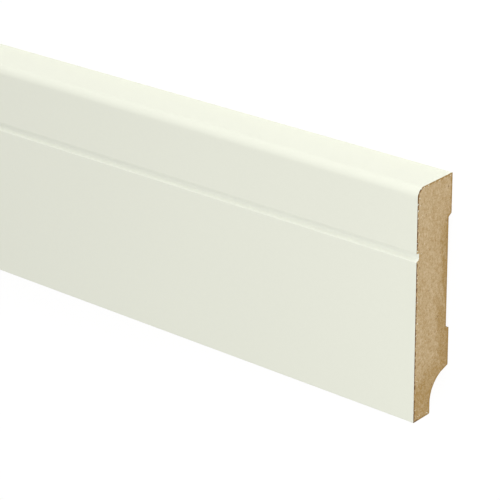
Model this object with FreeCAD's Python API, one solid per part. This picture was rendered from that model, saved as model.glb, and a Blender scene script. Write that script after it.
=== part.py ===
# A length of moulded skirting board: one piece of fibreboard with a rounded top edge
# and a groove along its face. It lies on its back with the face up. X runs along the length,
# Y from the floor edge to the top edge, and Z from the wall side to the face.
# The origin is under the middle of the board. Sizes are in millimetres and angles in degrees.

import FreeCAD
import Part

import math
import os

from FreeCAD import Vector

# The board as sold
board_length = 2400.0
board_height = 80.0
board_thickness = 18.0

# The round along the front of the top edge
top_round_radius = 3.5

# The groove along the face: its upper edge is measured down from the top of the board
groove_from_top = 21.5
groove_width = 2.8
groove_depth = 1.25
groove_upper_lean = 8.0
groove_lower_lean = 27.0

# The relief along the back, which leaves an upper and a lower land to touch the wall
upper_land_height = 13.5
lower_land_height = 13.2
relief_depth = 1.5
relief_shoulder_lean = 33.0

# The cove behind the foot, which clears cables and an uneven joint between wall and floor
foot_thickness = 8.6
foot_straight_height = 3.8
cove_radius = 9.8
cove_sweep = 66.0
cove_lip_slope = 18.0

# The small radii that are left where the long edges have been sanded
arris_radius = 0.3
groove_arris_radius = 0.25
heel_radius = 0.5


def at(height, depth):
    """The point of the end section at a height above the floor edge and a depth behind the face."""
    return Vector(-board_length / 2, height - board_height / 2, board_thickness - depth)


def polygon(points):
    """The flat face with straight sides through these heights and depths."""
    corners = [at(height, depth) for height, depth in points]
    return Part.Face(Part.makePolygon(corners + corners[:1]))


def channel(low, high, mouth, floor, low_lean, high_lean):
    """The section of a channel from its mouth to its floor. Its mouth is wider where a wall leans."""
    sunk = floor - mouth
    low_run = abs(sunk) * math.tan(math.radians(low_lean))
    high_run = abs(sunk) * math.tan(math.radians(high_lean))
    outside = mouth - sunk
    return polygon([
        (low, outside),
        (low, mouth),
        (low + low_run, floor),
        (high - high_run, floor),
        (high, mouth),
        (high, outside),
    ])


def blank():
    """The section of the board before it is moulded."""
    return polygon([(0, 0), (board_height, 0), (board_height, board_thickness), (0, board_thickness)])


def groove():
    """The groove's section. Its lower wall leans more, so that it catches the light."""
    high = board_height - groove_from_top
    low = high - groove_width
    return channel(low, high, 0, groove_depth, groove_lower_lean, groove_upper_lean)


def cove_arc():
    """Three points of the cove's arc: where it leaves the foot, its middle, and where its lip starts."""
    centre_depth = foot_thickness + cove_radius
    points = []
    for turned in (0, cove_sweep / 2, cove_sweep):
        angle = math.radians(turned)
        height = foot_straight_height + cove_radius * math.sin(angle)
        points.append((height, centre_depth - cove_radius * math.cos(angle)))
    return points


def lip_height(depth):
    """How high the cove's sloping lip is at a depth behind the face."""
    arc_end_height, arc_end_depth = cove_arc()[-1]
    return arc_end_height + (depth - arc_end_depth) * math.tan(math.radians(cove_lip_slope))


def cove():
    """The cove's section: up the back of the foot, round the arc, and out along the lip."""
    foot_end, middle, arc_end = [at(*point) for point in cove_arc()]
    outside = board_thickness + cove_radius
    foot_below = at(-cove_radius, foot_thickness)
    lip_outside = at(lip_height(outside), outside)
    below_outside = at(-cove_radius, outside)
    edges = [
        Part.makeLine(foot_below, foot_end),
        Part.Arc(foot_end, middle, arc_end).toShape(),
        Part.makeLine(arc_end, lip_outside),
        Part.makeLine(lip_outside, below_outside),
        Part.makeLine(below_outside, foot_below),
    ]
    return Part.Face(Part.Wire(edges))


def relief():
    """The relief's section: a square step above the lower land, a sloping shoulder under the upper one."""
    low = lip_height(board_thickness) + lower_land_height
    high = board_height - upper_land_height
    return channel(low, high, board_thickness, board_thickness - relief_depth, 0, relief_shoulder_lean)


def long_edges(solid, *section_points):
    """The edges of the solid that run along the board through these heights and depths."""
    near = 1e-4
    found = []
    for edge in solid.Edges:
        first, last = [vertex.Point for vertex in edge.Vertexes]
        for height, depth in section_points:
            target = at(height, depth)
            offsets = [abs(end.y - target.y) + abs(end.z - target.z) for end in (first, last)]
            if max(offsets) < near:
                found.append(edge)
    return found


def skirting_board():
    """The board: the moulded section run along its length, with the edges rounded."""
    section = blank().cut([groove(), cove(), relief()]).Faces[0]
    board = section.extrude(Vector(board_length, 0, 0))
    board = board.makeFillet(top_round_radius, long_edges(board, (board_height, 0)))
    board = board.makeFillet(heel_radius, long_edges(board, (0, foot_thickness)))
    board = board.makeFillet(arris_radius, long_edges(board, (0, 0), (board_height, board_thickness)))
    groove_top = board_height - groove_from_top
    groove_edges = long_edges(board, (groove_top, 0), (groove_top - groove_width, 0))
    return board.makeFillet(groove_arris_radius, groove_edges)


os.makedirs("parts", exist_ok=True)
skirting_board().exportStep("parts/skirting_board.step")
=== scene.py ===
"""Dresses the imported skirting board: its section at full detail, its finishes and the studio.

The board is one piece of fibreboard, moulded along its length, lacquered white on its face and
both long edges, and sawn to length. It lies on its back with its face up. X runs along the
length, Y from the floor edge to the top edge and Z from the wall side to the face, in metres, as
in the CAD frame. The right-hand end is the one at high X.
"""

import math
from typing import NamedTuple

import bpy
from bpy.props import FloatProperty, FloatVectorProperty, PointerProperty
from mathutils import Matrix, Vector, geometry, kdtree, noise


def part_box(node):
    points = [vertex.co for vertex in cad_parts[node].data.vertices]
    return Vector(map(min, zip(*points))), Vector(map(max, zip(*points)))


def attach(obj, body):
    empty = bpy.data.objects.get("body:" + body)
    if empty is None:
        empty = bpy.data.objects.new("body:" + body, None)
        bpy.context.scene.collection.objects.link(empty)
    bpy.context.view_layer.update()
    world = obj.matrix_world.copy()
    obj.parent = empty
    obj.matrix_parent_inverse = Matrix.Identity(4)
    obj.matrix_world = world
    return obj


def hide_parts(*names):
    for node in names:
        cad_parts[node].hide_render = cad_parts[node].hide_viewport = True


bl_info = {
    "name": "Moulded Skirting Board",
    "version": (1, 0, 0),
    "blender": (4, 5, 0),
    "location": "3D View > Sidebar > Skirting",
    "description": "Makes a length of lacquered, moulded skirting board and a plain studio for it",
    "category": "Add Mesh",
}

NODE = "skirting_board"
MM = 0.001

# The longest facet of the outline, and the most that a round turns from one facet to the next
FACET_LENGTH = 0.3 * MM
FACET_TURN = math.radians(16)

# The spacing of the net that fills an end
NET_SPACING = 0.32 * MM

# Two facets that meet at more than this make a sharp edge, and others are shaded as one surface
SHARP_ANGLE = math.radians(38)

# How far from each end the mesh has its rings, before the one in the middle
RING_PLACES = tuple(place * MM for place in (0.6, 1.5, 5, 20, 60, 150, 300, 600))

# The three rings of the worn arris at a cut: what share of the wear each is set in and set back
ARRIS_RINGS = ((1.0, 0.0), (0.25, 0.3), (0.0, 1.0))

# The bands that the saw's teeth left: how wide and how long they are in millimetres, and a seed
BROAD_BANDS = (3.2, 60, 16.7)
NARROW_BANDS = (1.2, 25, 7.0)

# The width in millimetres of the camera's sensor, which its focal length goes by
SENSOR_WIDTH = 36.0

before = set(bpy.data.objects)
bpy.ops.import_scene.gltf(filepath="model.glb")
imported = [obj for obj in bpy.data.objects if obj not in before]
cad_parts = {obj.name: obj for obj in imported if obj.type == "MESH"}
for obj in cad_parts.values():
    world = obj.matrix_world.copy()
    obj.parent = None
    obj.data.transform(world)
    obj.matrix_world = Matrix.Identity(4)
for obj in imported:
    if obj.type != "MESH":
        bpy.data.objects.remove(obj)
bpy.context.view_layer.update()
LOW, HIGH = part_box(NODE)


def linear(hex_colour):
    """An sRGB hex colour as the linear red, green and blue that a shader takes."""
    channels = [int(hex_colour[i : i + 2], 16) / 255 for i in (1, 3, 5)]
    return tuple(c / 12.92 if c <= 0.04045 else ((c + 0.055) / 1.055) ** 2.4 for c in channels)


def length_value(name, millimetres, description):
    """A size that shows in the sidebar as a length."""
    return FloatProperty(
        name=name,
        description=description,
        default=millimetres * MM,
        min=0.0,
        precision=5,
        subtype="DISTANCE",
        unit="LENGTH",
    )


def angle_value(name, degrees, description):
    """An angle that shows in the sidebar in degrees."""
    return FloatProperty(
        name=name,
        description=description,
        default=math.radians(degrees),
        subtype="ANGLE",
        unit="ROTATION",
    )


def colour_value(name, hex_colour, description):
    """A colour that shows in the sidebar as a swatch."""
    return FloatVectorProperty(
        name=name,
        description=description,
        default=linear(hex_colour),
        min=0.0,
        max=1.0,
        subtype="COLOR",
    )


class SectionSizes(bpy.types.PropertyGroup):
    """The sizes of the moulded section. Its height, thickness and length are the CAD part's.

    The top round was measured once more after the CAD part, where it is 3.5 mm.
    """

    top_round: length_value("Top round", 3.0, "Radius along the front of the top edge")
    groove_from_top: length_value("Groove from top", 21.5, "From the top edge down to the groove")
    groove_width: length_value("Groove width", 2.8, "Width of the groove at the face")
    groove_depth: length_value("Groove depth", 1.25, "Depth of the groove below the face")
    groove_upper_lean: angle_value("Groove upper lean", 8, "Lean of the groove's upper wall")
    groove_lower_lean: angle_value("Groove lower lean", 27, "Lean of the groove's lower wall")
    upper_land: length_value("Upper land", 13.5, "Height of the back's upper land")
    lower_land: length_value("Lower land", 13.2, "Height of the back's lower land")
    relief_depth: length_value("Relief depth", 1.5, "Depth of the relief between the lands")
    shoulder_lean: angle_value("Shoulder lean", 33, "Lean of the relief's upper shoulder")
    foot_thickness: length_value("Foot thickness", 8.6, "Thickness of the foot below the cove")
    foot_straight: length_value("Foot straight", 3.8, "Straight height of the foot's back")
    cove_radius: length_value("Cove radius", 9.8, "Radius of the cove that clears cables")
    cove_sweep: angle_value("Cove sweep", 66, "How far round the cove's arc goes")
    lip_slope: angle_value("Lip slope", 18, "Slope of the lip above the cove")
    heel_radius: length_value("Heel radius", 0.5, "Radius at the back of the foot")
    sanded_arris: length_value("Sanded arris", 0.3, "Radius sanded along the long edges")
    groove_arris: length_value("Groove arris", 0.25, "Radius along the groove's two edges")
    lacquer_fillet: length_value("Lacquer fillet", 0.2, "Radius under the groove's upper wall")
    pooled_lacquer: length_value("Pooled lacquer", 0.7, "Radius at the foot of its lower wall")
    cutter_radius: length_value("Cutter radius", 0.12, "Radius that a moulding knife leaves")


class SawnEndSizes(bpy.types.PropertyGroup):
    """What the saw left on the two ends."""

    blade_centre_y: FloatProperty(
        name="Blade centre across",
        description="Where the saw blade's centre was, from the middle of the board's height",
        default=48 * MM,
        subtype="DISTANCE",
        unit="LENGTH",
    )
    blade_centre_z: FloatProperty(
        name="Blade centre below",
        description="Where the saw blade's centre was, above the wall side",
        default=-139 * MM,
        subtype="DISTANCE",
        unit="LENGTH",
    )
    mark_depth: length_value("Mark depth", 0.05, "Depth of the arcs that the saw's teeth left")
    fibre_depth: length_value("Fibre depth", 0.05, "Depth of the torn fibres")
    pit_depth: length_value("Pit depth", 0.16, "Depth of the pits where fibre bundles pulled out")
    crumb: length_value("Crumbled edge", 0.04, "How far the edges of the cut have crumbled")
    dark_rim: length_value("Dark rim", 0.7, "Width of the pressed and soaked fibres at the rim")


class FinishColours(bpy.types.PropertyGroup):
    """The colours of the board."""

    lacquer: colour_value("Lacquer", "#EDEFE0", "The white lacquer")
    # Painted light: a lighter, cleaner white for the groove, which lifts the groove's shade
    groove_painted_light: colour_value("Pooled lacquer", "#F0F2E6", "The thicker lacquer in the groove")
    back: colour_value("Back", "#B59B74", "The sanded and moulded fibreboard of the back")
    loose: colour_value("Loose fibre", "#CBB592", "The sawn fibres that stand loose on the ends")
    # The darker sawn colour, used towards the back and the foot and in the speckle
    dark_fibre: colour_value("Dense fibre", "#A58754", "The sawn fibres that are pressed or scorched")
    rim: colour_value("Rim", "#6A4C2E", "The soaked fibres along the lacquered edges of the ends")
    bark: colour_value("Bark", "#7E5E38", "The specks of bark in the fibreboard")


class StudioSettings(bpy.types.PropertyGroup):
    """The camera's place and the light."""

    camera_from_end: FloatVectorProperty(
        name="Camera from end",
        description="The camera's place from the middle of the right-hand end at floor level",
        default=(0.3677, 0.2958, 0.5249),
        subtype="TRANSLATION",
        unit="LENGTH",
    )
    aim_from_end: FloatVectorProperty(
        name="Aim from end",
        description="The point at the picture's centre, from the same place",
        default=(-0.0671, 0.0014, 0.018),
        subtype="TRANSLATION",
        unit="LENGTH",
    )
    camera_roll: angle_value("Camera roll", 0.725, "Turn about the line of sight")
    camera_lens: FloatProperty(
        name="Lens",
        description="Focal length for a sensor 36 mm wide",
        default=160.8,
        min=1.0,
        subtype="DISTANCE_CAMERA",
        unit="CAMERA",
    )
    daylight: FloatProperty(
        name="Daylight",
        description="Strength of the even light from all round, where 1 shows colours as written",
        default=0.617,
        min=0.0,
    )
    window_light: FloatProperty(
        name="Window light",
        description="Strength of the soft light on the top edge, in watts a square metre",
        default=0.86,
        min=0.0,
    )
    window_spread: angle_value("Window spread", 56, "How wide the window is as seen from the board")
    window_tilt: angle_value("Window tilt", 70, "How far the window is from overhead")
    low_window_light: FloatProperty(
        name="Low window light",
        description="Strength of the light that reaches only the top edge, in watts a square metre",
        default=0.6,
        min=0.0,
    )
    low_window_tilt: angle_value("Low window tilt", 103, "How far the low window is from overhead")
    end_light: FloatProperty(
        name="End light",
        description="Power of the lamp beyond each end",
        default=0.775,
        min=0.0,
        subtype="POWER",
        unit="POWER",
    )
    end_lamp_place: FloatVectorProperty(
        name="End lamp place",
        description="An end lamp's place beyond, across and above the top corner of its end",
        default=(0.3, 0.04, 0.42),
        subtype="TRANSLATION",
        unit="LENGTH",
    )
    paper: colour_value("Paper", "#F4F4F2", "The studio's floor paper")


# The section


class Corner(NamedTuple):
    """A corner of the section, and whether the side from it to the next corner is lacquered."""

    y: float
    z: float
    radius: float
    lacquered: bool


def section_corners(size):
    """The section's corners, anticlockwise as seen from the right-hand end."""
    bottom, top, wall, face = LOW.y, HIGH.y, LOW.z, HIGH.z
    groove_high = top - size.groove_from_top
    groove_low = groove_high - size.groove_width
    groove_floor = face - size.groove_depth
    upper_run = size.groove_depth * math.tan(size.groove_upper_lean)
    lower_run = size.groove_depth * math.tan(size.groove_lower_lean)
    foot_back = face - size.foot_thickness
    foot_top = bottom + size.foot_straight
    arc_end_y = foot_top + size.cove_radius * math.sin(size.cove_sweep)
    arc_end_z = foot_back - size.cove_radius * (1 - math.cos(size.cove_sweep))
    cove_corner = foot_top + size.cove_radius * math.tan(size.cove_sweep / 2)
    lip = arc_end_y + (arc_end_z - wall) * math.tan(size.lip_slope)
    step = lip + size.lower_land
    relief = wall + size.relief_depth
    shoulder = top - size.upper_land
    shoulder_run = size.relief_depth * math.tan(size.shoulder_lean)
    return [
        Corner(top, face, size.top_round, True),
        Corner(groove_high, face, size.groove_arris, True),
        Corner(groove_high - upper_run, groove_floor, size.lacquer_fillet, True),
        Corner(groove_low + lower_run, groove_floor, size.pooled_lacquer, True),
        Corner(groove_low, face, size.groove_arris, True),
        Corner(bottom, face, size.sanded_arris, True),
        Corner(bottom, foot_back, size.heel_radius, False),
        Corner(cove_corner, foot_back, size.cove_radius, False),
        Corner(arc_end_y, arc_end_z, size.cutter_radius, False),
        Corner(lip, wall, size.cutter_radius, False),
        Corner(step, wall, size.cutter_radius, False),
        Corner(step, relief, size.cutter_radius, False),
        Corner(shoulder - shoulder_run, relief, size.cutter_radius, False),
        Corner(shoulder, wall, size.cutter_radius, False),
        Corner(top, wall, size.sanded_arris, True),
    ]


def round_points(corner, before, after):
    """The points round a corner, from the side before it to the side after it."""
    place = Vector((corner.y, corner.z))
    to_before = (Vector((before.y, before.z)) - place).normalized()
    to_after = (Vector((after.y, after.z)) - place).normalized()
    half = to_before.angle(to_after) / 2
    centre = place + (to_before + to_after).normalized() * corner.radius / math.sin(half)
    setback = corner.radius / math.tan(half)
    first = (place + to_before * setback - centre).normalized()
    last = (place + to_after * setback - centre).normalized()
    turn = first.angle(last)
    steps = max(math.ceil(turn / FACET_TURN), math.ceil(turn * corner.radius / FACET_LENGTH))
    return [centre + first.slerp(last, i / steps) * corner.radius for i in range(steps + 1)]


def rounded_outline(corners):
    """Points round the section, and for each whether the side that starts at it is lacquered."""
    rounds = []
    for i, corner in enumerate(corners):
        rounds.append(round_points(corner, corners[i - 1], corners[(i + 1) % len(corners)]))
    points, lacquered = [], []
    for i, corner in enumerate(corners):
        arc, next_arc = rounds[i], rounds[(i + 1) % len(corners)]
        points += arc[:-1]
        lacquered += [corner.lacquered or corners[i - 1].lacquered] * (len(arc) - 1)
        steps = math.ceil((next_arc[0] - arc[-1]).length / FACET_LENGTH)
        points += [arc[-1].lerp(next_arc[0], k / steps) for k in range(steps)]
        lacquered += [corner.lacquered] * steps
    return points, lacquered


def in_groove(spot, size):
    """Whether a spot of the outline is on the groove's walls, its floor or its upper arris."""
    arris = 0.1 * MM
    below_top = HIGH.y - spot.x - size.groove_from_top
    on_face_side = HIGH.z - spot.y < 1.1 * size.groove_depth
    return on_face_side and -arris < below_top < size.groove_width


def outward_normals(points):
    """The direction out of the board at each point of the outline."""
    normals = []
    for i in range(len(points)):
        along = (points[(i + 1) % len(points)] - points[i - 1]).normalized()
        normals.append(Vector((along.y, -along.x)))
    return normals


# The ends


def crumbling(spot, end):
    """How much an edge of the cut has crumbled at a spot, where 1 is usual."""
    fine_size, chip_size = 0.45, 1.3
    fewer_chips, least = 0.32, 0.3
    place = Vector((spot.x, spot.y, end)) / MM
    fine = noise.noise(place / fine_size)
    chip = max(0.0, noise.noise(place / chip_size) - fewer_chips)
    return max(least, 1 + 0.7 * fine + 6 * chip)


def room_for_wear(point, corners):
    """How far a point of the outline can move inwards without crossing its neighbours at a corner."""
    return min(
        max(0.8 * corner.radius, 0.9 * (point - Vector((corner.y, corner.z))).length)
        for corner in corners
    )


def end_rings(points, corners, end, crumb):
    """The outline's last rings at an end (1 or -1), from the cut inwards: a worn, crumbled arris."""
    x = HIGH.x if end > 0 else LOW.x
    worn = [min(crumb * crumbling(point, end), room_for_wear(point, corners)) for point in points]
    rings = []
    for inset, back in ARRIS_RINGS:
        ring = []
        for point, normal, wear in zip(points, outward_normals(points), worn):
            spot = point - normal * wear * inset
            ring.append(Vector((x - end * wear * back, spot.x, spot.y)))
        rings.append(ring)
    return rings


def nearest_side(spot, points, tree):
    """The distance from a spot to the outline, and which of its sides is nearest."""
    index = tree.find(spot.to_3d())[1]
    found = []
    for side in (index - 1, index):
        first, last = points[side], points[(side + 1) % len(points)]
        share = geometry.intersect_point_line(spot, first, last)[1]
        near = first.lerp(last, min(max(share, 0.0), 1.0))
        found.append(((spot - near).length, side % len(points)))
    return min(found)


def saw_place(spot, cut):
    """A spot's distance from the blade's centre, and its distance round the cut."""
    arm = spot - Vector((cut.blade_centre_y, cut.blade_centre_z))
    return arm.length, arm.length * math.atan2(arm.x, arm.y)


def saw_mark(radius, round_cut, end):
    """How deep the teeth cut at a place, from 0 to 1: uneven bands along arcs of the blade."""
    broad, narrow = [
        noise.noise(Vector((radius / MM / width, round_cut / MM / run, seed * end)))
        for width, run, seed in (BROAD_BANDS, NARROW_BANDS)
    ]
    return min(max(0.5 + 1.5 * broad + 0.3 * narrow, 0.0), 1.0)


def cut_depth(spot, end, cut):
    """How far the sawn surface lies below the end's plane at a spot.

    The third number of each place gives the two ends patterns of their own.
    """
    fibre_width, fibre_run, pit_size, fewer_pits = 0.5, 1.6, 0.9, 0.38
    radius, round_cut = saw_place(spot, cut)
    place = Vector((spot.x, spot.y, 0.01 * end)) / MM
    drawn_out = Vector((radius / fibre_width, round_cut / fibre_run, end / MM)) / MM
    fibres = 0.5 + 0.5 * noise.noise(drawn_out)
    pit = max(0.0, noise.noise(place / pit_size) - fewer_pits) / (1 - fewer_pits)
    depth = cut.mark_depth * saw_mark(radius, round_cut, end) + cut.fibre_depth * fibres
    return depth + cut.pit_depth * pit


def scattered_spots():
    """Jittered spots in staggered rows over the whole section's box."""
    jitter = 0.55
    spots = []
    for row in range(math.ceil((HIGH.z - LOW.z) / NET_SPACING)):
        for column in range(math.ceil((HIGH.y - LOW.y) / NET_SPACING)):
            shift = noise.cell_vector(Vector((column, row, 0.5)))
            stagger = 0.5 * (row % 2)
            y = LOW.y + (column + stagger + jitter * shift.x) * NET_SPACING
            z = LOW.z + (row + jitter * shift.y) * NET_SPACING
            spots.append(Vector((y, z)))
    return spots


# The mesh


class BoardMesh:
    """The board's mesh as it is built: one closed skin with a finish and a map place for each face."""

    LACQUER, BACK, SAWN = range(3)
    # Shares of the map: the long sides fill a strip, and each end has a column beside it
    STRIP = (0.005, 0.52)
    STRIP_MARGIN = 0.01
    END_COLUMNS = {1: 0.535, -1: 0.77}
    END_MARGIN = 0.015
    END_SCALE = (1 - 2 * END_MARGIN) / (HIGH.y - LOW.y)

    def __init__(self, points, lacquered, clear):
        self.points, self.lacquered, self.clear = points, lacquered, clear
        self.vertices, self.faces, self.finishes, self.map_places = [], [], [], []
        self.rim_distance, self.near_lacquer, self.saw_places, self.marks = [], [], [], []

    def add_vertex(self, place, rim_distance=0.0, near_lacquer=0.0, saw=(0.0, 0.0, 0.0), mark=0.0):
        """Adds a vertex with what the sawn finish needs to know of it."""
        self.vertices.append(place)
        self.rim_distance.append(rim_distance)
        self.near_lacquer.append(near_lacquer)
        self.saw_places.append(saw)
        self.marks.append(mark)
        return len(self.vertices) - 1

    def add_ring(self, ring, end, cut):
        """Adds a ring of vertices. Only the ring at a cut, with an end of 1 or -1, has saw marks."""
        indices = []
        for place, is_lacquered, clear in zip(ring, self.lacquered, self.clear):
            if end:
                radius, round_cut = saw_place(place.yz, cut)
                mark = saw_mark(radius, round_cut, end)
                saw = (radius, round_cut, float(end))
                indices.append(self.add_vertex(place, clear, float(is_lacquered), saw, mark))
            else:
                indices.append(self.add_vertex(place))
        return indices

    def bridge(self, ring, next_ring, broken):
        """Joins two rings, the second at higher X. Where the edge is broken, bare fibres show."""
        count = len(ring)
        lengths = [(self.points[(i + 1) % count] - self.points[i]).length for i in range(count)]
        start, end = self.STRIP
        share = (end - start) / sum(lengths)
        margin, run = self.STRIP_MARGIN, 1 - 2 * self.STRIP_MARGIN
        low, high = [
            margin + run * (self.vertices[r[0]].x - LOW.x) / (HIGH.x - LOW.x) for r in (ring, next_ring)
        ]
        u = start
        for i in range(count):
            j = (i + 1) % count
            next_u = u + lengths[i] * share
            self.faces.append((ring[i], ring[j], next_ring[j], next_ring[i]))
            whole = self.LACQUER if self.lacquered[i] else self.BACK
            self.finishes.append(self.SAWN if broken else whole)
            self.map_places.append(((u, low), (next_u, low), (next_u, high), (u, high)))
            u = next_u

    def end_map_place(self, index, end):
        """Where a vertex of an end is on the map."""
        place = self.vertices[index]
        u = self.END_COLUMNS[end] + (place.z - LOW.z) * self.END_SCALE
        return u, self.END_MARGIN + (place.y - LOW.y) * self.END_SCALE

    def close_end(self, ring, end, cut):
        """Fills an end's ring with a fine net that the saw has marked."""
        clearance = 0.6 * NET_SPACING
        rim = [self.vertices[index].yz for index in ring]
        tree = kdtree.KDTree(len(rim))
        for i, spot in enumerate(rim):
            tree.insert(spot.to_3d(), i)
        tree.balance()
        nearest = []
        spots = []
        for spot in scattered_spots():
            distance, side = nearest_side(spot, rim, tree)
            if distance > clearance:
                spots.append(spot)
                nearest.append((distance, side))
        inside_only, same_spot = 1, 1e-9
        border = [list(range(len(rim)))]
        net = geometry.delaunay_2d_cdt(rim + spots, [], border, inside_only, same_spot)
        triangles, sources = net[2], net[3]
        indices = dict(enumerate(ring))
        x = self.vertices[ring[0]].x
        for triangle in triangles:
            corners = []
            for corner in triangle:
                source = sources[corner][0]
                if source not in indices:
                    spot = spots[source - len(rim)]
                    distance, side = nearest[source - len(rim)]
                    radius, round_cut = saw_place(spot, cut)
                    place = Vector((x - end * cut_depth(spot, end, cut), spot.x, spot.y))
                    indices[source] = self.add_vertex(
                        place,
                        distance + self.clear[side],
                        float(self.lacquered[side]),
                        (radius, round_cut, float(end)),
                        saw_mark(radius, round_cut, end),
                    )
                corners.append(indices[source])
            if end < 0:
                corners.reverse()
            self.faces.append(tuple(corners))
            self.finishes.append(self.SAWN)
            self.map_places.append(tuple(self.end_map_place(index, end) for index in corners))

    def make(self, name):
        """Makes the mesh, with its attributes and its map."""
        mesh = bpy.data.meshes.new(name)
        mesh.from_pydata(self.vertices, [], self.faces)
        mesh.polygons.foreach_set("material_index", self.finishes)
        for attribute, values in (
            ("rim_distance", self.rim_distance),
            ("near_lacquer", self.near_lacquer),
            ("saw_mark", self.marks),
        ):
            mesh.attributes.new(attribute, "FLOAT", "POINT").data.foreach_set("value", values)
        saw_places = [value for place in self.saw_places for value in place]
        mesh.attributes.new("saw_place", "FLOAT_VECTOR", "POINT").data.foreach_set(
            "vector", saw_places
        )
        uv = [value for face in self.map_places for place in face for value in place]
        mesh.uv_layers.new(name="OFBake").data.foreach_set("uv", uv)
        mesh.shade_smooth()
        mesh.set_sharp_from_angle(angle=SHARP_ANGLE)
        mesh.update()
        if mesh.validate():
            raise RuntimeError("the board's mesh has faulty faces")
        return mesh


def board_mesh(size, cut):
    """The whole board as one closed mesh, finest where the saw has cut it."""
    corners = section_corners(size)
    points, lacquered = rounded_outline(corners)
    # The dark fibres of a cut's rim stop at the groove, as if the rim were this far away there
    away = 0.8 * MM
    clear = [away if in_groove(point, size) else 0.0 for point in points]
    build = BoardMesh(points, lacquered, clear)
    stations = [LOW.x + back for back in RING_PLACES]
    stations.append((LOW.x + HIGH.x) / 2)
    stations += [HIGH.x - back for back in reversed(RING_PLACES)]
    rings = end_rings(points, corners, -1, cut.crumb)
    rings += [[Vector((x, point.x, point.y)) for point in points] for x in stations]
    rings += reversed(end_rings(points, corners, 1, cut.crumb))
    indices = []
    for i, ring in enumerate(rings):
        end = {0: -1, len(rings) - 1: 1}.get(i, 0)
        indices.append(build.add_ring(ring, end, cut))
    last = len(rings) - 2
    for i, (ring, next_ring) in enumerate(zip(indices, indices[1:])):
        build.bridge(ring, next_ring, broken=i in (0, last))
    build.close_end(indices[0], -1, cut)
    build.close_end(indices[-1], 1, cut)
    return build.make("moulded_board")


# The finishes. Real fibres are a few hundredths of a millimetre thick, so their patterns are drawn
# as coarse as they have to be to show. Broader patches, flecks, ripples and peel have real sizes.


def add(tree, kind, inputs=None, **settings):
    """Adds a node with its settings.

    An input takes a value, an output socket to link, or a node to link by its first output in use.
    A colour mix has its two colours at inputs 6 and 7, and its result at output 2.
    """
    node = tree.nodes.new(kind)
    for name, value in settings.items():
        setattr(node, name, value)
    for name, value in (inputs or {}).items():
        if isinstance(value, bpy.types.Node):
            value = next(output for output in value.outputs if output.enabled)
        if isinstance(value, bpy.types.NodeSocket):
            tree.links.new(value, node.inputs[name])
        else:
            node.inputs[name].default_value = value
    return node


def new_finish(name, **fixed):
    """A material's node tree and its principled shader, with fixed values set on the shader."""
    material = bpy.data.materials.new(name)
    material.use_nodes = True
    shader = material.node_tree.nodes["Principled BSDF"]
    for socket, value in fixed.items():
        shader.inputs[socket.replace("_", " ")].default_value = value
    return material, material.node_tree, shader


def wandering(tree, mean, layers):
    """A value that wanders about a mean. Each layer is the place, the grain's size and its share."""
    value = mean - sum(amount for _, _, amount in layers) / 2
    for place, size, amount in layers:
        grain = add(tree, "ShaderNodeTexNoise", {"Vector": place, "Scale": 1 / size, "Detail": 2.0})
        value = add(tree, "ShaderNodeMath", {0: grain, 1: amount, 2: value}, operation="MULTIPLY_ADD")
    return value


def flecks(tree, place, spacing):
    """Scattered specks of bark, as a mask. A cell of the pattern has one of its own size or none."""
    bent = add(tree, "ShaderNodeTexNoise", {"Vector": place, "Scale": 3 / spacing}).outputs["Color"]
    place = add(
        tree,
        "ShaderNodeVectorMath",
        {0: bent, 1: (0.4 * spacing,) * 3, 2: place},
        operation="MULTIPLY_ADD",
    )
    cells = add(tree, "ShaderNodeTexVoronoi", {"Vector": place, "Scale": 1 / spacing})
    chance = add(tree, "ShaderNodeSeparateColor", {0: cells.outputs["Color"]})
    size = add(
        tree,
        "ShaderNodeMapRange",
        {"Value": chance, "From Min": 0.6, "From Max": 1.0, "To Min": -0.05, "To Max": 0.24},
    )
    inside = add(tree, "ShaderNodeMath", {0: size, 1: cells.outputs["Distance"]}, operation="SUBTRACT")
    return add(
        tree,
        "ShaderNodeMapRange",
        {"Value": inside, "From Min": -0.04, "From Max": 0.06, "To Max": 0.9},
    )


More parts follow.
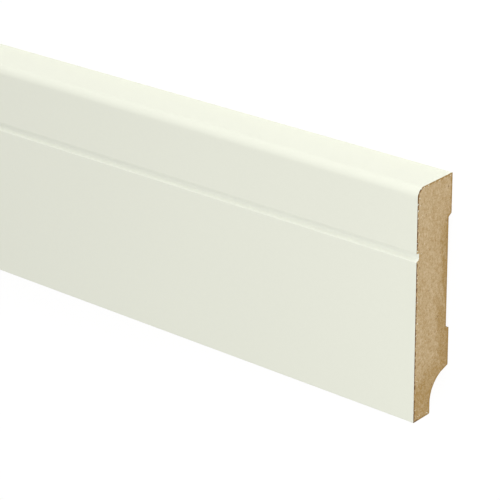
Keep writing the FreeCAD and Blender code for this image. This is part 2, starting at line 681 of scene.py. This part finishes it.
def satin_lacquer(colours, size):
    """White lacquer, sprayed, cured and denibbed on fibreboard.

    The eye gets an even warm white with a soft satin sheen and a faint orange peel. On the edges
    and in the groove, where knives cut into the softer core, the fibres stand up under it. In the
    groove the white is painted lighter and cleaner, as painted light that lifts the shade there.
    """
    material, tree, shader = new_finish("sprayed satin white lacquer", IOR=1.5)
    place = add(tree, "ShaderNodeTexCoord").outputs["Object"]
    parts = add(tree, "ShaderNodeSeparateXYZ", {0: place}).outputs
    cut_core = add(
        tree,
        "ShaderNodeMapRange",
        {"Value": parts["Z"], "From Min": HIGH.z - 0.02 * MM, "From Max": HIGH.z - 0.3 * MM},
        interpolation_type="SMOOTHSTEP",
    )
    # Painted light: the groove is painted whiter and cleaner, to lift its shade and the yellow of light
    # bounced in it
    half = size.groove_width / 2
    middle = HIGH.y - size.groove_from_top - half
    across = add(tree, "ShaderNodeMath", {0: parts["Y"], 1: middle}, operation="SUBTRACT")
    from_middle = add(tree, "ShaderNodeMath", {0: across}, operation="ABSOLUTE")
    groove_painted_light = add(
        tree,
        "ShaderNodeMapRange",
        {"Value": from_middle, "From Min": half + 0.2 * MM, "From Max": half - 0.1 * MM},
    )
    colour = add(
        tree,
        "ShaderNodeMix",
        {0: groove_painted_light, 6: (*colours.lacquer, 1.0), 7: (*colours.groove_painted_light, 1.0)},
        data_type="RGBA",
    )
    tone = wandering(tree, 1.0, [(place, 60 * MM, 0.02), (place, 1.1 * MM, 0.02)])
    colour = add(tree, "ShaderNodeVectorMath", {0: colour, "Scale": tone}, operation="SCALE")
    tree.links.new(colour.outputs[0], shader.inputs["Base Color"])
    sheen = wandering(tree, 0.43, [(place, 25 * MM, 0.08), (place, 0.8 * MM, 0.08)])
    rough = add(tree, "ShaderNodeMath", {0: cut_core, 1: 0.06, 2: sheen}, operation="MULTIPLY_ADD")
    tree.links.new(rough.outputs[0], shader.inputs["Roughness"])
    peel = wandering(tree, 0.0, [(place, 1.6 * MM, 0.012 * MM), (place, 0.35 * MM, 0.0015 * MM)])
    fibres = wandering(tree, 0.0, [(place, 0.3 * MM, 0.008 * MM)])
    relief = add(tree, "ShaderNodeMath", {0: cut_core, 1: fibres, 2: peel}, operation="MULTIPLY_ADD")
    bump = add(tree, "ShaderNodeBump", {"Height": relief, "Distance": 1.0})
    tree.links.new(bump.outputs[0], shader.inputs["Normal"])
    return material


def moulded_fibreboard(colours):
    """Medium-density fibreboard, sanded on its lands and moulded in the relief and the cove.

    The eye gets a matt brown felt of fine fibres with a few dark bark flecks, knife ripples across
    the relief, and a thin white mist near the edges where the spray went round.
    """
    material, tree, shader = new_finish(
        "moulded medium-density fibreboard", IOR=1.45, Specular_IOR_Level=0.25
    )
    place = add(tree, "ShaderNodeTexCoord").outputs["Object"]
    parts = add(tree, "ShaderNodeSeparateXYZ", {0: place}).outputs
    knifed = add(
        tree,
        "ShaderNodeMapRange",
        {"Value": parts["Z"], "From Min": LOW.z + 0.1 * MM, "From Max": LOW.z + 0.4 * MM},
    )
    turn = add(
        tree, "ShaderNodeMath", {0: parts["X"], 1: 2 * math.pi / (1.6 * MM)}, operation="MULTIPLY"
    )
    wave = add(tree, "ShaderNodeMath", {0: turn}, operation="SINE")
    ripple = add(tree, "ShaderNodeMath", {0: wave, 1: knifed}, operation="MULTIPLY")
    felt = wandering(
        tree, 1.0, [(place, 22 * MM, 0.12), (place, 2.5 * MM, 0.14), (place, 0.5 * MM, 0.4)]
    )
    cut_tone = add(tree, "ShaderNodeMath", {0: knifed, 1: 0.07, 2: felt}, operation="MULTIPLY_ADD")
    tone = add(tree, "ShaderNodeMath", {0: ripple, 1: 0.012, 2: cut_tone}, operation="MULTIPLY_ADD")
    colour = add(
        tree, "ShaderNodeVectorMath", {0: tuple(colours.back), "Scale": tone}, operation="SCALE"
    )
    bark = (*colours.bark, 1.0)
    speck = flecks(tree, place, 2.2 * MM)
    colour = add(tree, "ShaderNodeMix", {0: speck, 6: colour, 7: bark}, data_type="RGBA")
    from_middle = add(tree, "ShaderNodeMath", {0: parts["Y"]}, operation="ABSOLUTE")
    drift = wandering(tree, 0.0, [(place, 4 * MM, 3 * MM), (place, 0.6 * MM, 2.5 * MM)])
    reach = add(tree, "ShaderNodeMath", {0: from_middle, 1: drift}, operation="ADD")
    mist = add(
        tree,
        "ShaderNodeMapRange",
        {"Value": reach, "From Min": HIGH.y - 3.2 * MM, "From Max": HIGH.y, "To Max": 0.75},
        interpolation_type="SMOOTHSTEP",
    )
    lacquer = (*colours.lacquer, 1.0)
    colour = add(tree, "ShaderNodeMix", {0: mist, 6: colour, 7: lacquer}, data_type="RGBA")
    tree.links.new(colour.outputs[2], shader.inputs["Base Color"])
    rough = wandering(tree, 0.84, [(place, 0.6 * MM, 0.16)])
    tree.links.new(rough.outputs[0], shader.inputs["Roughness"])
    nap = wandering(tree, 0.0, [(place, 0.9 * MM, 0.03 * MM), (place, 0.28 * MM, 0.03 * MM)])
    relief = add(tree, "ShaderNodeMath", {0: ripple, 1: 0.003 * MM, 2: nap}, operation="MULTIPLY_ADD")
    bump = add(tree, "ShaderNodeBump", {"Height": relief, "Distance": 1.0})
    tree.links.new(bump.outputs[0], shader.inputs["Normal"])
    return material


def sawn_fibreboard(colours, dark_rim):
    """Medium-density fibreboard, cut across by a circular saw.

    The eye gets a dry light brown with a fine speckle and soft arcs where the teeth passed. It is
    darker towards the back and towards the foot, and the rim is darker, most of all beside the
    face, with a few grains of lacquer near the rim.
    """
    material, tree, shader = new_finish(
        "sawn medium-density fibreboard", IOR=1.45, Specular_IOR_Level=0.2
    )
    place = add(tree, "ShaderNodeTexCoord").outputs["Object"]
    parts = add(tree, "ShaderNodeSeparateXYZ", {0: place}).outputs
    saw = add(tree, "ShaderNodeAttribute", attribute_name="saw_place").outputs["Vector"]
    drawn = add(tree, "ShaderNodeVectorMath", {0: saw, 1: (1.0, 0.3, 1.0)}, operation="MULTIPLY")
    mark = add(tree, "ShaderNodeAttribute", attribute_name="saw_mark").outputs["Fac"]
    rim = add(tree, "ShaderNodeAttribute", attribute_name="rim_distance").outputs["Fac"]
    near_lacquer = add(tree, "ShaderNodeAttribute", attribute_name="near_lacquer").outputs["Fac"]

    speckle = wandering(
        tree,
        0.62,
        [(place, 8 * MM, 0.2), (place, 1.3 * MM, 0.8), (drawn, 0.7 * MM, 0.75), (place, 0.45 * MM, 1.6)],
    )
    arcs = add(tree, "ShaderNodeMath", {0: mark, 1: -0.1, 2: speckle}, operation="MULTIPLY_ADD")

    # Darker towards the back, below the top land, and towards the foot, along wavy lines
    wavy = wandering(tree, 0.0, [(place, 3 * MM, 4 * MM), (drawn, 1.2 * MM, 2 * MM)])
    waved = add(tree, "ShaderNodeMath", {0: mark, 1: 6 * MM, 2: wavy}, operation="MULTIPLY_ADD")
    depth = add(tree, "ShaderNodeMath", {0: parts["Z"], 1: waved}, operation="ADD")
    darker_to_back = add(
        tree,
        "ShaderNodeMapRange",
        {"Value": depth, "From Min": 9 * MM, "From Max": 5 * MM, "To Max": 0.43},
        interpolation_type="SMOOTHSTEP",
    )
    below_top = add(
        tree,
        "ShaderNodeMapRange",
        {"Value": parts["Y"], "From Min": 30 * MM, "From Max": 20 * MM},
    )
    darker_to_back = add(tree, "ShaderNodeMath", {0: darker_to_back, 1: below_top}, operation="MULTIPLY")
    slanted = add(tree, "ShaderNodeMath", {0: depth, 1: 0.35, 2: parts["Y"]}, operation="MULTIPLY_ADD")
    darker_to_foot = add(
        tree,
        "ShaderNodeMapRange",
        {"Value": slanted, "From Min": LOW.y + 24 * MM, "From Max": LOW.y + 18 * MM, "To Max": 0.33},
        interpolation_type="SMOOTHSTEP",
    )
    dark_fibre = add(tree, "ShaderNodeMath", {0: darker_to_back, 1: darker_to_foot}, operation="MAXIMUM")
    loose = add(tree, "ShaderNodeMath", {0: arcs, 1: dark_fibre}, operation="SUBTRACT")

    uneven = wandering(tree, 0.0, [(place, 1.2 * MM, 2.0 * MM), (place, 0.4 * MM, 0.8 * MM)])
    rim_reach = add(tree, "ShaderNodeMath", {0: rim, 1: uneven}, operation="ADD")
    soaked = add(
        tree,
        "ShaderNodeMapRange",
        {"Value": rim_reach, "From Min": dark_rim, "From Max": 0.5 * dark_rim, "To Max": 0.95},
        interpolation_type="SMOOTHSTEP",
    )
    loose = add(tree, "ShaderNodeMath", {0: soaked, 1: -0.9, 2: loose}, operation="MULTIPLY_ADD")
    colour = add(
        tree,
        "ShaderNodeMix",
        {0: loose, 6: (*colours.dark_fibre, 1.0), 7: (*colours.loose, 1.0)},
        data_type="RGBA",
    )
    speck = flecks(tree, place, 2.0 * MM)
    bark = (*colours.bark, 1.0)
    colour = add(tree, "ShaderNodeMix", {0: speck, 6: colour, 7: bark}, data_type="RGBA")

    near_face = add(
        tree,
        "ShaderNodeMapRange",
        {"Value": parts["Z"], "From Min": HIGH.z - 4 * MM, "From Max": HIGH.z - MM, "To Min": 0.1},
    )
    share = add(tree, "ShaderNodeMath", {0: soaked, 1: near_lacquer}, operation="MULTIPLY")
    share = add(tree, "ShaderNodeMath", {0: share, 1: near_face}, operation="MULTIPLY")
    rim_colour = (*colours.rim, 1.0)
    colour = add(tree, "ShaderNodeMix", {0: share, 6: colour, 7: rim_colour}, data_type="RGBA")
    near_rim = add(
        tree,
        "ShaderNodeMapRange",
        {"Value": rim, "From Min": 4 * MM, "From Max": 0.8 * MM, "To Min": -0.12, "To Max": 0.0},
    )
    grains = add(tree, "ShaderNodeTexNoise", {"Vector": place, "Scale": 1 / (0.75 * MM), "Detail": 1.0})
    dust = add(tree, "ShaderNodeMath", {0: grains, 1: near_rim}, operation="ADD")
    dusty = add(
        tree,
        "ShaderNodeMapRange",
        {"Value": dust, "From Min": 0.665, "From Max": 0.71},
        interpolation_type="SMOOTHSTEP",
    )
    share = add(tree, "ShaderNodeMath", {0: dusty, 1: near_lacquer}, operation="MULTIPLY")
    lacquer = (*colours.lacquer, 1.0)
    colour = add(tree, "ShaderNodeMix", {0: share, 6: colour, 7: lacquer}, data_type="RGBA")
    tree.links.new(colour.outputs[2], shader.inputs["Base Color"])

    rough = wandering(tree, 0.88, [(place, 0.7 * MM, 0.16)])
    tree.links.new(rough.outputs[0], shader.inputs["Roughness"])
    nap = wandering(tree, 0.0, [(drawn, 0.5 * MM, 0.05 * MM), (place, 0.22 * MM, 0.03 * MM)])
    bump = add(tree, "ShaderNodeBump", {"Height": nap, "Distance": 1.0})
    tree.links.new(bump.outputs[0], shader.inputs["Normal"])
    return material


def seen_directly(tree):
    """1 where the camera sees a surface itself or in a mirror or glass, and 0 for light on it."""
    path = add(tree, "ShaderNodeLightPath").outputs
    kinds = {0: path["Is Camera Ray"], 1: path["Is Glossy Ray"]}
    either = add(tree, "ShaderNodeMath", kinds, operation="MAXIMUM")
    kinds = {0: either, 1: path["Is Transmission Ray"]}
    return add(tree, "ShaderNodeMath", kinds, operation="MAXIMUM")


def studio_paper(studio):
    """Matt white background paper, which the camera sees as white with a trace of the shadow."""
    material, tree, shader = new_finish("matt studio paper", Roughness=0.95, Specular_IOR_Level=0.0)
    place = add(tree, "ShaderNodeTexCoord").outputs["Object"]
    # The camera sees mostly a glow just over white, and for the rest the lit paper and its shadow
    glow_strength, glow_share = 1.06, 0.86
    tone = wandering(tree, 0.99, [(place, 0.4, 0.01)])
    colour = add(
        tree, "ShaderNodeVectorMath", {0: tuple(studio.paper), "Scale": tone}, operation="SCALE"
    )
    tree.links.new(colour.outputs[0], shader.inputs["Base Color"])
    white = (1.0, 1.0, 1.0, 1.0)
    glow = add(tree, "ShaderNodeEmission", {"Color": white, "Strength": glow_strength})
    share = add(tree, "ShaderNodeMath", {0: seen_directly(tree), 1: glow_share}, operation="MULTIPLY")
    mix = add(tree, "ShaderNodeMixShader", {0: share, 1: shader, 2: glow})
    tree.links.new(mix.outputs[0], tree.nodes["Material Output"].inputs["Surface"])
    return material


# The operators and the panel


def place_lamp(name, data, place, aim):
    """Puts a lamp in the scene at a place, aimed at a point."""
    lamp = bpy.data.objects.new(name, data)
    bpy.context.scene.collection.objects.link(lamp)
    lamp.location = place
    lamp.rotation_euler = (aim - place).to_track_quat("-Z", "Y").to_euler()
    return lamp


class SKIRTING_OT_add_board(bpy.types.Operator):
    """Make the moulded board and put it in the CAD part's place"""

    bl_idname = "skirting.add_board"
    bl_label = "Add Moulded Board"

    def execute(self, context):
        scene = context.scene
        mesh = board_mesh(scene.skirting_section, scene.skirting_cut)
        colours = scene.skirting_colours
        mesh.materials.append(satin_lacquer(colours, scene.skirting_section))
        mesh.materials.append(moulded_fibreboard(colours))
        mesh.materials.append(sawn_fibreboard(colours, scene.skirting_cut.dark_rim))
        board = bpy.data.objects.new("moulded_board", mesh)
        scene.collection.objects.link(board)
        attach(board, "root")
        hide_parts(NODE)
        return {"FINISHED"}


class SKIRTING_OT_set_stage(bpy.types.Operator):
    """Make the floor, the light and the camera"""

    bl_idname = "skirting.set_stage"
    bl_label = "Set Studio Stage"

    def execute(self, context):
        scene = context.scene
        studio = scene.skirting_studio
        self.lay_floor(scene, studio)
        self.light(scene, studio)
        self.place_camera(scene, studio)
        scene.view_settings.view_transform = "Standard"
        return {"FINISHED"}

    def lay_floor(self, scene, studio):
        """Lays the paper a hair below the board, so that the two don't share a plane."""
        reach, level = 30.0, LOW.z - 0.05 * MM
        mesh = bpy.data.meshes.new("studio_floor")
        corners = [(-reach, -reach, level), (reach, -reach, level), (reach, reach, level)]
        mesh.from_pydata([*corners, (-reach, reach, level)], [], [(0, 1, 2, 3)])
        mesh.materials.append(studio_paper(studio))
        floor = bpy.data.objects.new("studio_floor", mesh)
        scene.collection.objects.link(floor)
        # The low window is below the paper's level, and the paper doesn't hide it
        floor.visible_shadow = False

    def light(self, scene, studio):
        """Even daylight, two soft windows beyond the top edge, and a lamp beyond each end."""
        world = bpy.data.worlds.new("daylight")
        world.use_nodes = True
        tree = world.node_tree
        # The camera sees a strength of 1, which is white, and the board gets the daylight's
        rest = 1 - studio.daylight
        strength = add(
            tree,
            "ShaderNodeMath",
            {0: seen_directly(tree), 1: rest, 2: studio.daylight},
            operation="MULTIPLY_ADD",
        )
        sky = tree.nodes["Background"]
        sky.inputs["Color"].default_value = (1.0, 1.0, 1.0, 1.0)
        tree.links.new(strength.outputs[0], sky.inputs["Strength"])
        scene.world = world

        # The windows are a little towards the right-hand end
        towards_right = 0.3
        for name, energy, tilt in (
            ("window", studio.window_light, studio.window_tilt),
            ("low_window", studio.low_window_light, studio.low_window_tilt),
        ):
            window = bpy.data.lights.new(name, "SUN")
            window.energy, window.angle = energy, studio.window_spread
            place = Vector((towards_right, math.sin(tilt), math.cos(tilt)))
            place_lamp(name, window, place, Vector())

        lamp_width = 0.15
        for name, x, side in (("right_end", HIGH.x, 1), ("left_end", LOW.x, -1)):
            lamp = bpy.data.lights.new(name, "AREA")
            lamp.energy, lamp.size = studio.end_light, lamp_width
            corner = Vector((x, HIGH.y, HIGH.z))
            beyond, across, above = studio.end_lamp_place
            lamp = place_lamp(name, lamp, corner + Vector((side * beyond, across, above)), corner)
            lamp.visible_camera = False

    def place_camera(self, scene, studio):
        """Puts the camera where the picture was taken from, upright to the board's own height."""
        end = Vector((HIGH.x, 0.0, LOW.z))
        place = end + Vector(studio.camera_from_end)
        sight = (end + Vector(studio.aim_from_end) - place).normalized()
        across = sight.cross(Vector((0.0, 1.0, 0.0))).normalized()
        turn = Matrix((across, across.cross(sight), -sight)).transposed()
        turn = Matrix.Rotation(studio.camera_roll, 3, sight) @ turn
        data = bpy.data.cameras.new("camera")
        data.lens, data.sensor_width = studio.camera_lens, SENSOR_WIDTH
        camera = bpy.data.objects.new("camera", data)
        scene.collection.objects.link(camera)
        camera.matrix_world = Matrix.Translation(place) @ turn.to_4x4()
        scene.camera = camera


class SKIRTING_PT_panel(bpy.types.Panel):
    """The board's sizes, finishes and stage"""

    bl_idname = "SKIRTING_PT_panel"
    bl_label = "Skirting Board"
    bl_space_type = "VIEW_3D"
    bl_region_type = "UI"
    bl_category = "Skirting"

    def draw(self, context):
        layout = self.layout
        layout.operator(SKIRTING_OT_add_board.bl_idname)
        layout.operator(SKIRTING_OT_set_stage.bl_idname)
        for group in SETTINGS:
            box = layout.box()
            settings = getattr(context.scene, group)
            for name in settings.bl_rna.properties.keys():
                if name not in ("rna_type", "name"):
                    box.prop(settings, name)


SETTINGS = {
    "skirting_section": SectionSizes,
    "skirting_cut": SawnEndSizes,
    "skirting_colours": FinishColours,
    "skirting_studio": StudioSettings,
}
OPERATORS = (SKIRTING_OT_add_board, SKIRTING_OT_set_stage)


def register():
    for cls in (*SETTINGS.values(), *OPERATORS, SKIRTING_PT_panel):
        bpy.utils.register_class(cls)
    for name, cls in SETTINGS.items():
        setattr(bpy.types.Scene, name, PointerProperty(type=cls))


def unregister():
    for name in SETTINGS:
        delattr(bpy.types.Scene, name)
    for cls in reversed((*SETTINGS.values(), *OPERATORS, SKIRTING_PT_panel)):
        bpy.utils.unregister_class(cls)


def main():
    register()
    bpy.ops.skirting.add_board()
    bpy.ops.skirting.set_stage()


if __name__ == "__main__":
    main()
